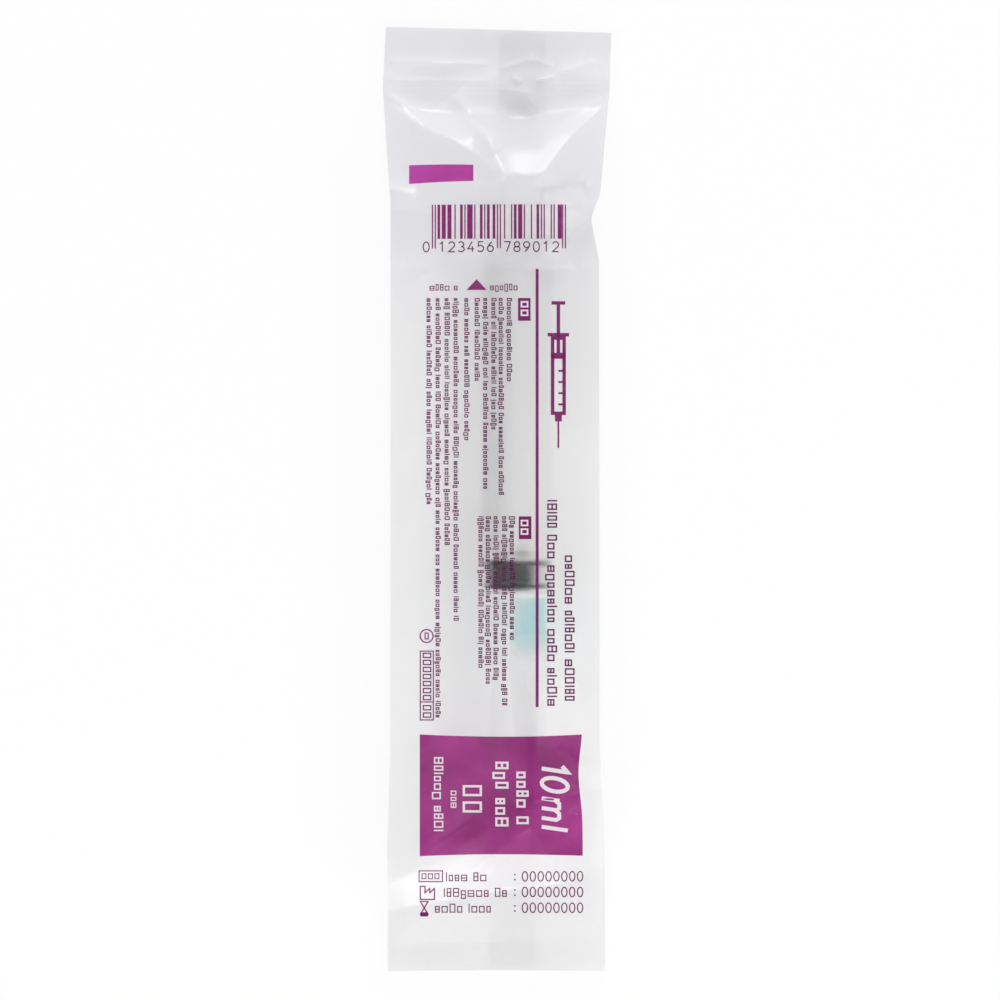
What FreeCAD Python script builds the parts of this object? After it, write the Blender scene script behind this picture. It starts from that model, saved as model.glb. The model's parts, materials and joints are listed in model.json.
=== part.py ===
"""A 10 ml syringe with its capped needle, lying inside its sealed film pouch, in millimetres.

X runs across the pouch, +Y towards its head end and the thumb rest, and +Z up from the table.
The origin is the middle of the pouch's underside.
"""
import FreeCAD
import Part
import os
import re

import Sketcher

doc = FreeCAD.newDocument("packed_syringe")
sheet = doc.addObject("Spreadsheet::Sheet", "Sizes")

# Driving dimensions: barrel
DRIVING = {
    "bore_radius": 7.95,
    "barrel_wall": 0.85,
    "barrel_length": 83.3,
    "end_wall": 1.0,
    "end_cone": 0.8,
    "end_round": 0.7,
    "flange_thickness": 2.1,
    "flange_reach": 12.5,
    "flange_rise": 9.2,
    "retaining_bead": 0.3,
    "bead_depth": 3.0,
    "bead_half": 0.8,
    # The luer nozzle, set off the barrel's axis towards the film
    "nozzle_across": 3.0,
    "nozzle_up": 3.3,
    "nozzle_length": 9.4,
    "nozzle_tip_radius": 1.97,
    "nozzle_bore": 1.0,
    "luer_taper": 0.03,
    # Plunger rod and stopper
    "plunger_travel": 4.8,
    "plunger_gap": 6.8,
    "thumb_radius": 9.4,
    "thumb_thickness": 1.9,
    "thumb_edge": 0.5,
    "thumb_ring": 0.3,
    "thumb_ring_outer": 6.6,
    "thumb_ring_inner": 3.8,
    "rib_thickness": 1.4,
    "rib_clearance": 0.6,
    "guide_thickness": 1.2,
    "guide_spacing": 21.0,
    "guide_discs": 4,
    "rod_neck": 2.2,
    "rod_head_radius": 4.2,
    "rod_head_length": 2.4,
    "rod_head_slope": 1.1,
    "head_fit": 0.03,
    "stopper_rib": 1.2,
    "stopper_waist": 0.8,
    "stopper_length": 6.6,
    "stopper_bevel": 0.35,
    "stopper_face": 2.0,
    "collar_radius": 5.4,
    "collar_length": 2.0,
    "stopper_clearance": 0.05,
    "stopper_gap": 0.1,
    # Needle hub, needle, its bond and its cap
    "hub_gap": 1.4,
    "hub_length": 12.6,
    "hub_rim_radius": 3.9,
    "hub_rim": 1.1,
    "hub_waist": 3.25,
    "hub_shoulder": 10.0,
    "hub_nose": 2.0,
    "hub_fin": 0.6,
    "hub_fins": 8,
    "luer_clearance": 0.02,
    "socket_spare": 0.66,
    "cannula_radius": 0.41,
    "cannula_bore": 0.255,
    "cannula_exposed": 38.0,
    "cannula_sunk": 3.6,
    "bevel_length": 3.6,
    "bond_radius": 1.0,
    "bond_depth": 1.5,
    "bond_bulge": 0.37,
    "bond_fit": 0.02,
    "cap_clearance": 0.05,
    "cap_overlap": 4.9,
    "cap_wall": 0.65,
    "cap_tip_radius": 2.5,
    "cap_spare": 2.3,
    "cap_rim": 1.0,
    "cap_flute": 0.35,
    "cap_flutes": 6,
    "cap_flute_length": 11.0,
    # Film pouch: one web wrapped round, joined under the back and sealed across both ends
    "film": 0.1,
    "fin_half": 5.5,
    "fin_step": 0.15,
    "film_clearance": 0.15,
    "disc_clearance": 0.3,
    "fold": 0.3,
    "flat_fold": 0.6,
    "slit": 0.02,
    "axis_across": 4.68,
    "head_half": 26.6,
    "head_skew": 0.6,
    "body_left": 24.9,
    "body_right": 24.0,
    "flange_right": 23.0,
    "notch_right": 21.9,
    "apex_left": 25.2,
    "apex_right": 24.8,
    "foot_half": 25.4,
    "crest_half": 3.2,
    "apex_half": 4.9,
    "flange_spare": 1.6,
    "floor_half": 6.5,
    "cap_crest": 1.7,
    "tip_clearance": 0.4,
    "touch_down": 5.6,
    "notch_place": 4.0,
    "notch_half": 7.2,
    "foot_slope": 14.55,
    "foot_flat": 12.4,
    "foot_seal": 6.9,
    "foot_lift": 1.2,
    "foot_puff": 2.2,
    "foot_ridge": 14.0,
    "foot_edge_rise": 0.9,
    "cap_edge_height": 7.5,
    "apex_edge_height": 8.5,
    "head_slope": 19.5,
    "head_seal": 6.6,
    "head_flap": 8.95,
    "head_lift": 3.0,
    "head_droop": 1.8,
}

# What follows from them: radii, heights, and places along Y
DERIVED = {
    "barrel_radius": "bore_radius + barrel_wall",
    "flange_corner": "sqrt(flange_reach^2 - flange_rise^2)",
    "stopper_radius": "bore_radius - stopper_clearance",
    "waist_radius": "stopper_radius - stopper_waist",
    "rib_reach": "bore_radius - rib_clearance",
    "fin": "2 * film",
    "axis_height": "fin + film + disc_clearance + thumb_radius",
    "nozzle_x": "axis_across + nozzle_across",
    "nozzle_z": "axis_height + nozzle_up",
    "nozzle_root_radius": "nozzle_tip_radius + luer_taper * nozzle_length",
    "socket_radius": "nozzle_root_radius - luer_taper * hub_gap + luer_clearance",
    "socket_depth": "nozzle_length - hub_gap + socket_spare",
    "cap_mouth_bore": "hub_waist + hub_fin + cap_clearance",
    "cap_mouth_radius": "cap_mouth_bore + cap_wall",
    "cap_length": "cap_overlap + cannula_exposed + cap_spare",
    "head_extent": "barrel_length + plunger_gap + thumb_thickness + plunger_travel"
                   " + disc_clearance + head_slope + head_seal + head_flap",
    "foot_extent": "hub_gap + hub_length + cannula_exposed + cap_spare"
                   " + tip_clearance + foot_slope + foot_flat + foot_seal",
    "shoulder_y": "(foot_extent - head_extent) / 2",
    "hub_y": "shoulder_y - hub_gap",
    "hub_tip_y": "hub_y - hub_length",
    "cap_tip_y": "hub_tip_y - cannula_exposed - cap_spare",
    "flange_y": "shoulder_y + barrel_length",
    "thumb_y": "flange_y + plunger_gap",
    "stopper_y": "shoulder_y + end_wall + stopper_gap",
    "rod_y": "stopper_y + stopper_length + collar_length",
    "foot_y": "-(foot_extent + head_extent) / 2",
    "head_y": "(foot_extent + head_extent) / 2",
}


def fill_sheet():
    """Writes the driving sizes as numbers and the sizes that follow from them as formulas."""
    row = 1
    for alias, number in DRIVING.items():
        sheet.set(f"A{row}", alias)
        sheet.set(f"B{row}", str(number))
        sheet.setAlias(f"B{row}", alias)
        row += 1
    for alias, formula in DERIVED.items():
        sheet.set(f"A{row}", alias)
        sheet.set(f"B{row}", "=" + formula)
        sheet.setAlias(f"B{row}", alias)
        doc.recompute()
        row += 1


def linked(words):
    """The same sum with each size's name read from the sheet."""
    known = set(DRIVING) | set(DERIVED)

    def from_sheet(found):
        return "Sizes." + found.group() if found.group() in known else found.group()

    return re.sub(r"[a-z][a-z_]*", from_sheet, words)


def worked_out(words):
    """The sum's present value, for where a line or a circle is first drawn."""
    return float(sheet.evalExpression(linked(words)))


def new_body(name, across="0", along="0", up="0"):
    """A body whose place follows the sheet."""
    body = doc.addObject("PartDesign::Body", name)
    body.Label = name
    for axis, words in (("x", across), ("y", along), ("z", up)):
        if words != "0":
            body.setExpression("Placement.Base." + axis, linked(words))
    return body


def new_sketch(body, name, plane, lift="0", across="0", up="0"):
    """A sketch flat on one of its body's own planes, moved by expressions where it is off the plane."""
    sketch = body.newObject("Sketcher::SketchObject", name)
    origin_plane = next(part for part in body.Origin.OriginFeatures if part.Role == plane)
    sketch.AttachmentSupport = [(origin_plane, "")]
    sketch.MapMode = "FlatFace"
    for axis, words in (("x", across), ("y", up), ("z", lift)):
        if words != "0":
            sketch.setExpression("AttachmentOffset.Base." + axis, linked(words))
    return sketch


def pin(sketch, line, end, across, up):
    """Holds one point of the sketch at a place worked out from the sheet."""
    for kind, words, axis in (("DistanceX", across, -2), ("DistanceY", up, -1)):
        if words == "0":
            sketch.addConstraint(Sketcher.Constraint("PointOnObject", line, end, axis))
        else:
            place = worked_out(words)
            held = sketch.addConstraint(Sketcher.Constraint(kind, -1, 1, line, end, place))
            sketch.setExpression(f"Constraints[{held}]", linked(words))


def draw_outline(sketch, corners):
    """A closed outline of straight lines, with every corner pinned."""
    spots = [FreeCAD.Vector(worked_out(across), worked_out(up), 0) for across, up in corners]
    first = sketch.GeometryCount
    for place, spot in enumerate(spots):
        sketch.addGeometry(Part.LineSegment(spot, spots[(place + 1) % len(spots)]), False)
    for place, (across, up) in enumerate(corners):
        line = first + place
        after = first + (place + 1) % len(corners)
        sketch.addConstraint(Sketcher.Constraint("Coincident", line, 2, after, 1))
        pin(sketch, line, 1, across, up)


def draw_circle(sketch, radius):
    """A circle about the sketch's own origin."""
    size = worked_out(radius)
    circle = sketch.addGeometry(Part.Circle(FreeCAD.Vector(), FreeCAD.Vector(0, 0, 1), size), False)
    sketch.addConstraint(Sketcher.Constraint("Coincident", circle, 3, -1, 1))
    held = sketch.addConstraint(Sketcher.Constraint("Radius", circle, size))
    sketch.setExpression(f"Constraints[{held}]", linked(radius))


def turn(body, name, corners, cut=False, across="0", up="0"):
    """Turns a half section about the body's long axis, or one beside it, adding or cutting."""
    sketch = new_sketch(body, name + "_section", "XY_Plane", lift=up, across=across)
    draw_outline(sketch, corners)
    kind = "PartDesign::Groove" if cut else "PartDesign::Revolution"
    turned = body.newObject(kind, name)
    turned.Profile = sketch
    turned.ReferenceAxis = (sketch, ["V_Axis"])
    turned.Angle = 360
    doc.recompute()
    return turned


def push(body, name, sketch, length, reverse=True):
    """Pads a sketch along the long axis, towards +Y unless reverse is off."""
    pad = body.newObject("PartDesign::Pad", name)
    pad.Profile = sketch
    pad.setExpression("Length", linked(length))
    pad.Reversed = reverse
    doc.recompute()
    return pad


def ring_of(body, name, feature, count):
    """Repeats a feature round the body's long axis."""
    pattern = body.newObject("PartDesign::PolarPattern", name)
    pattern.Originals = [feature]
    pattern.Axis = (next(part for part in body.Origin.OriginFeatures if part.Role == "Y_Axis"), [""])
    pattern.Angle = 360
    pattern.setExpression("Occurrences", linked(count))
    body.Tip = pattern
    doc.recompute()
    return pattern


def make_barrel():
    """Clear moulded barrel: finger flange with flats, tube, coned end wall and offset luer nozzle."""
    body = new_body("barrel", "axis_across", "shoulder_y", "axis_height")
    flange = new_sketch(body, "flange_outline", "XZ_Plane", lift="-barrel_length")
    reach, rise, corner = (worked_out(word) for word in ("flange_reach", "flange_rise", "flange_corner"))
    middle = FreeCAD.Vector()
    upward = FreeCAD.Vector(0, 0, 1)
    quarters = ((corner, rise), (-corner, rise), (-corner, -rise), (corner, -rise))
    ends = [FreeCAD.Vector(x, y, 0) for x, y in quarters]
    right_tip = FreeCAD.Vector(reach, 0, 0)
    left_tip = FreeCAD.Vector(-reach, 0, 0)
    top = flange.addGeometry(Part.LineSegment(ends[0], ends[1]), False)
    left = flange.addGeometry(Part.Arc(ends[1], left_tip, ends[2]), False)
    under = flange.addGeometry(Part.LineSegment(ends[2], ends[3]), False)
    right = flange.addGeometry(Part.Arc(ends[3], right_tip, ends[0]), False)
    pin(flange, top, 1, "flange_corner", "flange_rise")
    pin(flange, top, 2, "-flange_corner", "flange_rise")
    pin(flange, under, 1, "-flange_corner", "-flange_rise")
    pin(flange, under, 2, "flange_corner", "-flange_rise")
    for arc, first, last in ((left, top, under), (right, under, top)):
        starts_first = flange.getPoint(arc, 1).isEqual(flange.getPoint(first, 2), 0.001)
        start, end = (1, 2) if starts_first else (2, 1)
        flange.addConstraint(Sketcher.Constraint("Coincident", arc, start, first, 2))
        flange.addConstraint(Sketcher.Constraint("Coincident", arc, end, last, 1))
    held = flange.addConstraint(Sketcher.Constraint("Radius", left, reach))
    flange.setExpression(f"Constraints[{held}]", linked("flange_reach"))
    flange.addConstraint(Sketcher.Constraint("Equal", left, right))
    draw_circle(flange, "bore_radius")
    push(body, "flange", flange, "flange_thickness", reverse=False)
    turn(body, "tube", [
        ("0", "-end_cone"),
        ("barrel_radius - end_round", "0"),
        ("barrel_radius", "end_round"),
        ("barrel_radius", "barrel_length"),
        ("bore_radius", "barrel_length"),
        ("bore_radius", "barrel_length - bead_depth + bead_half"),
        ("bore_radius - retaining_bead", "barrel_length - bead_depth"),
        ("bore_radius", "barrel_length - bead_depth - bead_half"),
        ("bore_radius", "end_wall"),
        ("0", "end_wall - end_cone"),
    ])
    turn(body, "nozzle", [
        ("0", "-nozzle_length"),
        ("nozzle_tip_radius", "-nozzle_length"),
        ("nozzle_root_radius", "0"),
        ("nozzle_root_radius", "end_wall / 2 - end_cone / 2"),
        ("0", "end_wall / 2 - end_cone / 2"),
    ], across="nozzle_across", up="nozzle_up")
    turn(body, "nozzle_hole", [
        ("0", "-nozzle_length - end_wall"),
        ("nozzle_bore", "-nozzle_length - end_wall"),
        ("nozzle_bore", "2 * end_wall"),
        ("0", "2 * end_wall"),
    ], cut=True, across="nozzle_across", up="nozzle_up")
    return body


def make_plunger_rod():
    """White moulded rod: ribs of a cross section, guide discs, thumb rest, and a head for the stopper."""
    body = new_body("plunger_rod", "axis_across", "rod_y", "axis_height")
    length = "(thumb_y - rod_y)"
    ribs = new_sketch(body, "cross_outline", "XZ_Plane")
    half, reach = "rib_thickness / 2", "rib_reach"
    draw_outline(ribs, [
        (reach, half), (half, half), (half, reach), (f"-{half}", reach),
        (f"-{half}", half), (f"-{reach}", half), (f"-{reach}", f"-{half}"), (f"-{half}", f"-{half}"),
        (f"-{half}", f"-{reach}"), (half, f"-{reach}"), (half, f"-{half}"), (reach, f"-{half}"),
    ])
    push(body, "ribs", ribs, length)
    seat = new_sketch(body, "seat_outline", "XZ_Plane")
    draw_circle(seat, "rib_reach")
    guide = push(body, "seat_disc", seat, "guide_thickness")
    row = body.newObject("PartDesign::LinearPattern", "guide_discs")
    row.Originals = [guide]
    row.Direction = (next(part for part in body.Origin.OriginFeatures if part.Role == "Y_Axis"), [""])
    row.setExpression("Length", linked("guide_spacing * (guide_discs - 1)"))
    row.setExpression("Occurrences", linked("guide_discs"))
    body.Tip = row
    doc.recompute()
    turn(body, "thumb_rest", [
        ("0", length),
        ("thumb_radius - thumb_edge", length),
        ("thumb_radius", length + " + thumb_edge"),
        ("thumb_radius", length + " + thumb_thickness - thumb_edge"),
        ("thumb_radius - thumb_edge", length + " + thumb_thickness"),
        ("thumb_ring_outer", length + " + thumb_thickness"),
        ("thumb_ring_outer - thumb_ring", length + " + thumb_thickness - thumb_ring"),
        ("thumb_ring_inner + thumb_ring", length + " + thumb_thickness - thumb_ring"),
        ("thumb_ring_inner", length + " + thumb_thickness"),
        ("0", length + " + thumb_thickness"),
    ])
    turn(body, "stopper_head", [
        ("0", "stopper_face - stopper_length - collar_length"),
        ("rod_head_radius", "stopper_face - stopper_length - collar_length"),
        ("rod_head_radius", "stopper_face + rod_head_length - stopper_length - collar_length"),
        ("rod_neck", "stopper_face + rod_head_length + rod_head_slope - stopper_length - collar_length"),
        ("rod_neck", "guide_thickness / 2"),
        ("0", "guide_thickness / 2"),
    ])
    return body


def make_stopper():
    """Black rubber stopper: coned face, two sealing ribs, waist, collar and a pocket for the rod."""
    body = new_body("stopper", "axis_across", "stopper_y", "axis_height")
    turn(body, "rubber", [
        ("0", "-end_cone"),
        ("stopper_radius - stopper_bevel", "-end_cone * stopper_bevel / bore_radius"),
        ("stopper_radius", "stopper_bevel"),
        ("stopper_radius", "stopper_rib"),
        ("waist_radius", "stopper_rib + stopper_waist"),
        ("waist_radius", "stopper_length - stopper_rib - stopper_waist"),
        ("stopper_radius", "stopper_length - stopper_rib"),
        ("stopper_radius", "stopper_length - stopper_bevel"),
        ("stopper_radius - stopper_bevel", "stopper_length"),
        ("collar_radius", "stopper_length"),
        ("collar_radius - stopper_bevel", "stopper_length + collar_length"),
        ("rod_neck + head_fit", "stopper_length + collar_length"),
        ("rod_neck + head_fit", "stopper_face + rod_head_length + rod_head_slope + head_fit"),
        ("rod_head_radius + head_fit", "stopper_face + rod_head_length + head_fit"),
        ("rod_head_radius + head_fit", "stopper_face - head_fit"),
        ("0", "stopper_face - head_fit"),
    ])
    return body


def make_needle_hub():
    """Coloured needle hub: rim, finned grip and nose, with a luer socket, needle hole and bond well."""
    body = new_body("needle_hub", "nozzle_x", "hub_y", "nozzle_z")
    turn(body, "grip", [
        ("0", "-hub_length"),
        ("hub_nose - hub_fin / 2", "-hub_length"),
        ("hub_nose", "-hub_length + hub_fin / 2"),
        ("hub_waist", "-hub_shoulder - hub_rim"),
        ("hub_waist", "-hub_rim"),
        ("hub_rim_radius", "-hub_rim"),
        ("hub_rim_radius", "0"),
        ("0", "0"),
    ])
    fin = new_sketch(body, "fin_outline", "YZ_Plane", lift="0")
    draw_outline(fin, [
        ("-hub_rim / 2", "hub_waist / 2"),
        ("-hub_rim / 2", "hub_waist + hub_fin"),
        ("-hub_shoulder", "hub_waist + hub_fin"),
        ("-hub_shoulder - hub_rim", "hub_waist"),
        ("-hub_shoulder - hub_rim", "hub_waist / 2"),
    ])
    pad = body.newObject("PartDesign::Pad", "fin")
    pad.Profile = fin
    pad.setExpression("Length", linked("hub_fin"))
    pad.Midplane = True
    doc.recompute()
    ring_of(body, "fins", pad, "hub_fins")
    turn(body, "socket", [
        ("0", "-socket_depth"),
        ("socket_radius - luer_taper * socket_depth", "-socket_depth"),
        ("socket_radius", "0"),
        ("socket_radius + luer_taper * hub_rim", "hub_rim"),
        ("0", "hub_rim"),
    ], cut=True)
    turn(body, "needle_hole", [
        ("0", "-hub_length - hub_rim"),
        ("bond_radius", "-hub_length - hub_rim"),
        ("bond_radius", "-hub_length + bond_depth"),
        ("cannula_radius + bond_fit", "-hub_length + bond_depth"),
        ("cannula_radius + bond_fit", "-socket_depth + hub_rim"),
        ("0", "-socket_depth + hub_rim"),
    ], cut=True)
    return body


def make_cannula():
    """Steel needle tube, sunk in the hub at one end and ground to a bevel at the other."""
    body = new_body("cannula", "nozzle_x", "hub_tip_y", "nozzle_z")
    tube = new_sketch(body, "tube_outline", "XZ_Plane", lift="-cannula_sunk")
    draw_circle(tube, "cannula_radius")
    draw_circle(tube, "cannula_bore")
    push(body, "needle_tube", tube, "cannula_sunk + cannula_exposed", reverse=False)
    bevel = new_sketch(body, "bevel_outline", "YZ_Plane")
    draw_outline(bevel, [
        ("-cannula_exposed - cannula_radius", "-cannula_radius - cannula_radius^2 / bevel_length * 2"),
        ("-cannula_exposed + bevel_length", "cannula_radius"),
        ("-cannula_exposed + bevel_length", "2 * cannula_radius"),
        ("-cannula_exposed - cannula_radius", "2 * cannula_radius"),
    ])
    whole = body.Shape.Volume
    grind = body.newObject("PartDesign::Pocket", "bevel")
    grind.Profile = bevel
    grind.Type = "ThroughAll"
    grind.Midplane = True
    doc.recompute()
    if body.Shape.Volume >= whole:
        raise ValueError("the needle's bevel cuts nothing")
    return body


def make_needle_bond():
    """Clear bead of adhesive that fills the hub's well round the needle."""
    body = new_body("needle_bond", "nozzle_x", "hub_tip_y", "nozzle_z")
    turn(body, "bead", [
        ("cannula_radius + bond_fit", "-bond_bulge"),
        ("bond_radius - bond_fit", "0"),
        ("bond_radius - bond_fit", "bond_depth"),
        ("cannula_radius + bond_fit", "bond_depth"),
    ])
    return body


def make_needle_cap():
    """Clear tapered needle cap, closed at its tip, with a rim and short flutes at its mouth."""
    body = new_body("needle_cap", "nozzle_x", "cap_tip_y", "nozzle_z")
    turn(body, "sleeve", [
        ("0", "0"),
        ("cap_tip_radius - cap_wall", "0"),
        ("cap_tip_radius", "cap_wall"),
        ("cap_mouth_radius", "cap_length - cap_flute_length"),
        ("cap_mouth_radius", "cap_length - cap_rim"),
        ("cap_mouth_radius + cap_flute", "cap_length - cap_rim"),
        ("cap_mouth_radius + cap_flute", "cap_length"),
        ("cap_mouth_bore", "cap_length"),
        ("cap_mouth_bore", "cap_length - cap_overlap"),
        ("cap_tip_radius - cap_wall", "2 * cap_wall"),
        ("0", "2 * cap_wall"),
    ])
    flute = new_sketch(body, "flute_outline", "YZ_Plane")
    draw_outline(flute, [
        ("cap_length - cap_flute_length", "cap_mouth_radius - cap_wall / 2"),
        ("cap_length - cap_flute_length", "cap_mouth_radius"),
        ("cap_length - cap_flute_length + cap_rim", "cap_mouth_radius + cap_flute"),
        ("cap_length - cap_rim / 2", "cap_mouth_radius + cap_flute"),
        ("cap_length - cap_rim / 2", "cap_mouth_radius - cap_wall / 2"),
    ])
    pad = body.newObject("PartDesign::Pad", "flute")
    pad.Profile = flute
    pad.setExpression("Length", linked("cap_flute * 2"))
    pad.Midplane = True
    doc.recompute()
    ring_of(body, "flutes", pad, "cap_flutes")
    return body


def flat_station(along, left, right, height):
    """A station where the two layers of film lie together."""
    return {
        "along": along, "left": left, "right": right, "edge": height, "fold": "2 * flat_fold",
        "crest": (f"-({left}) + flat_fold", f"{right} - flat_fold", f"{height} + film"),
        "floor": (f"-({left}) + flat_fold", f"{right} - flat_fold", f"{height} - film - fin"),
    }


def full_station(along, left, right, edge, crest, floor_half="floor_half"):
    """A station where the film stands over the contents: crest is its middle, half width and height."""
    middle, half, height = crest
    return {
        "along": along, "left": left, "right": right, "edge": edge, "fold": "fold",
        "crest": (f"{middle} - ({half})", f"{middle} + {half}", height),
        "floor": (f"axis_across - ({floor_half})", f"axis_across + {floor_half}", "0"),
    }


def pouch_stations():
    """The film's sections from the foot edge to the head edge."""
    barrel_top = "axis_height + barrel_radius + film_clearance + film"
    flange_top = "axis_height + flange_rise + film_clearance + film"
    disc_top = "axis_height + thumb_radius + disc_clearance + film"
    hub_top = "nozzle_z + cap_mouth_radius + cap_flute + film_clearance + film"
    tip_top = "nozzle_z + cap_tip_radius + film_clearance + film"
    flange_half = "flange_corner + flange_spare"
    over_barrel = ("axis_across", "crest_half", barrel_top)
    over_flange = ("axis_across", flange_half, flange_top)
    over_disc = ("axis_across", "apex_half", disc_top)
    puff = flat_station("cap_tip_y - tip_clearance - foot_slope", "foot_half", "foot_half", "foot_lift")
    puff["edge"] = "foot_lift + foot_edge_rise"
    puff["crest"] = ("-foot_ridge", "foot_ridge + axis_across", "foot_lift + foot_puff")
    puff["floor"] = ("-foot_ridge", "foot_ridge + axis_across", "0")
    return [
        flat_station("foot_y", "foot_half", "foot_half", "foot_lift"),
        flat_station("foot_y + foot_seal", "foot_half", "foot_half", "foot_lift"),
        puff,
        full_station("cap_tip_y - tip_clearance", "foot_half", "foot_half", "cap_edge_height",
                     ("nozzle_x", "cap_crest", tip_top)),
        full_station("hub_tip_y + cap_overlap - cap_flute_length", "body_left", "body_right",
                     "axis_height", ("nozzle_x", "cap_crest", hub_top)),
        full_station("hub_tip_y + cap_overlap", "body_left", "body_right", "axis_height",
                     ("nozzle_x", "cap_crest", hub_top)),
        full_station("shoulder_y - tip_clearance", "body_left", "body_right", "axis_height", over_barrel),
        full_station("flange_y - flange_thickness - touch_down", "body_left", "body_right",
                     "axis_height", over_barrel),
        full_station("flange_y - flange_thickness - tip_clearance", "body_left", "flange_right",
                     "axis_height", over_flange, flange_half),
        full_station("flange_y + tip_clearance", "body_left", "flange_right",
                     "axis_height", over_flange, flange_half),
        full_station("flange_y + notch_place", "body_left", "notch_right", "axis_height",
                     ("axis_across", "notch_half", disc_top), "notch_half"),
        full_station("thumb_y - tip_clearance", "body_left", "(body_right + notch_right) / 2",
                     "axis_height", over_disc),
        full_station("thumb_y + thumb_thickness + plunger_travel + disc_clearance",
                     "apex_left", "apex_right", "apex_edge_height", over_disc),
        flat_station("head_y - head_flap - head_seal", "head_half", "(head_half - head_skew / 2)",
                     "head_lift"),
        flat_station("head_y - head_flap", "head_half", "head_half", "head_lift"),
        flat_station("head_y", "(head_half - head_skew)", "head_half", "head_droop"),
    ]


def outer_corners(station):
    """Round the outside of the film: two folds, the crest, the underside and the seam's step."""
    crest_left, crest_right, crest_up = station["crest"]
    floor_left, floor_right, floor_up = station["floor"]
    return [
        (f"-({station['left']})", station["edge"]),
        (floor_left, floor_up + " + fin"),
        ("axis_across - fin_half - fin_step", floor_up + " + fin"),
        ("axis_across - fin_half", floor_up),
        ("axis_across + fin_half", floor_up),
        ("axis_across + fin_half + fin_step", floor_up + " + fin"),
        (floor_right, floor_up + " + fin"),
        (station["right"], station["edge"]),
        (crest_right, crest_up),
        (crest_left, crest_up),
    ]


def inner_corners(station, slit="0"):
    """Round the room inside the film, which closes to a slit where the layers are sealed."""
    crest_left, crest_right, crest_up = station["crest"]
    floor_left, floor_right, floor_up = station["floor"]
    corner = "0" if slit == "0" else "2 * flat_fold"
    return [
        (f"-({station['left']}) + {station['fold']}", station["edge"]),
        (f"{floor_left} + {corner}", f"{floor_up} + fin + film - {slit}"),
        (f"{floor_right} - {corner}", f"{floor_up} + fin + film - {slit}"),
        (f"{station['right']} - {station['fold']}", station["edge"]),
        (f"{crest_right} - {corner}", f"{crest_up} - film + {slit}"),
        (f"{crest_left} + {corner}", f"{crest_up} - film + {slit}"),
    ]


def make_film_pouch():
    """The pouch: straight folds between stations outside, less the room it closes inside."""
    body = new_body("film_pouch")
    stations = pouch_stations()
    outside = []
    for place, station in enumerate(stations):
        sketch = new_sketch(body, f"outside_{place}", "XZ_Plane", lift=f"-({station['along']})")
        draw_outline(sketch, outer_corners(station))
        outside.append(sketch)
    skin = body.newObject("PartDesign::AdditiveLoft", "skin")
    skin.Profile = outside[0]
    skin.Sections = outside[1:]
    skin.Ruled = True
    doc.recompute()
    filled = body.Shape.Volume
    inside = []
    sealed_ends = (1, len(stations) - 3)
    for place in range(sealed_ends[0], sealed_ends[1] + 1):
        station = stations[place]
        sketch = new_sketch(body, f"inside_{place}", "XZ_Plane", lift=f"-({station['along']})")
        closed = place in sealed_ends
        draw_outline(sketch, inner_corners(station, "slit") if closed else inner_corners(station))
        inside.append(sketch)
    room = body.newObject("PartDesign::SubtractiveLoft", "room")
    room.Profile = inside[0]
    room.Sections = inside[1:]
    room.Ruled = True
    doc.recompute()
    if body.Shape.Volume >= filled / 2:
        raise ValueError("the pouch is not hollow")
    return body


def write_parts(bodies):
    """Checks the whole document, then writes each piece as a STEP file under its own name."""
    doc.recompute()
    for thing in doc.Objects:
        if "Invalid" in thing.State or "Error" in thing.State:
            raise ValueError(f"{thing.Name} is {thing.State}")
    for body in bodies:
        if body.Shape.isNull() or not body.Shape.isValid() or len(body.Shape.Solids) != 1:
            raise ValueError(f"{body.Label} is not one good solid")
    os.makedirs("parts", exist_ok=True)
    for body in bodies:
        body.Shape.exportStep(f"parts/{body.Label}.step")
        box = body.Shape.BoundBox
        spans = [f"{low:.2f} to {high:.2f}" for low, high in (
            (box.XMin, box.XMax), (box.YMin, box.YMax), (box.ZMin, box.ZMax))]
        print(f"{body.Label}: {body.Shape.Volume:.1f} mm3, X, Y and Z {', '.join(spans)}")


fill_sheet()
write_parts([
    make_barrel(),
    make_plunger_rod(),
    make_stopper(),
    make_needle_hub(),
    make_cannula(),
    make_needle_bond(),
    make_needle_cap(),
    make_film_pouch(),
])
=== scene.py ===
"""The looks of a syringe with a capped needle, lying in its sealed and printed film pouch."""
import json
import math

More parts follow.
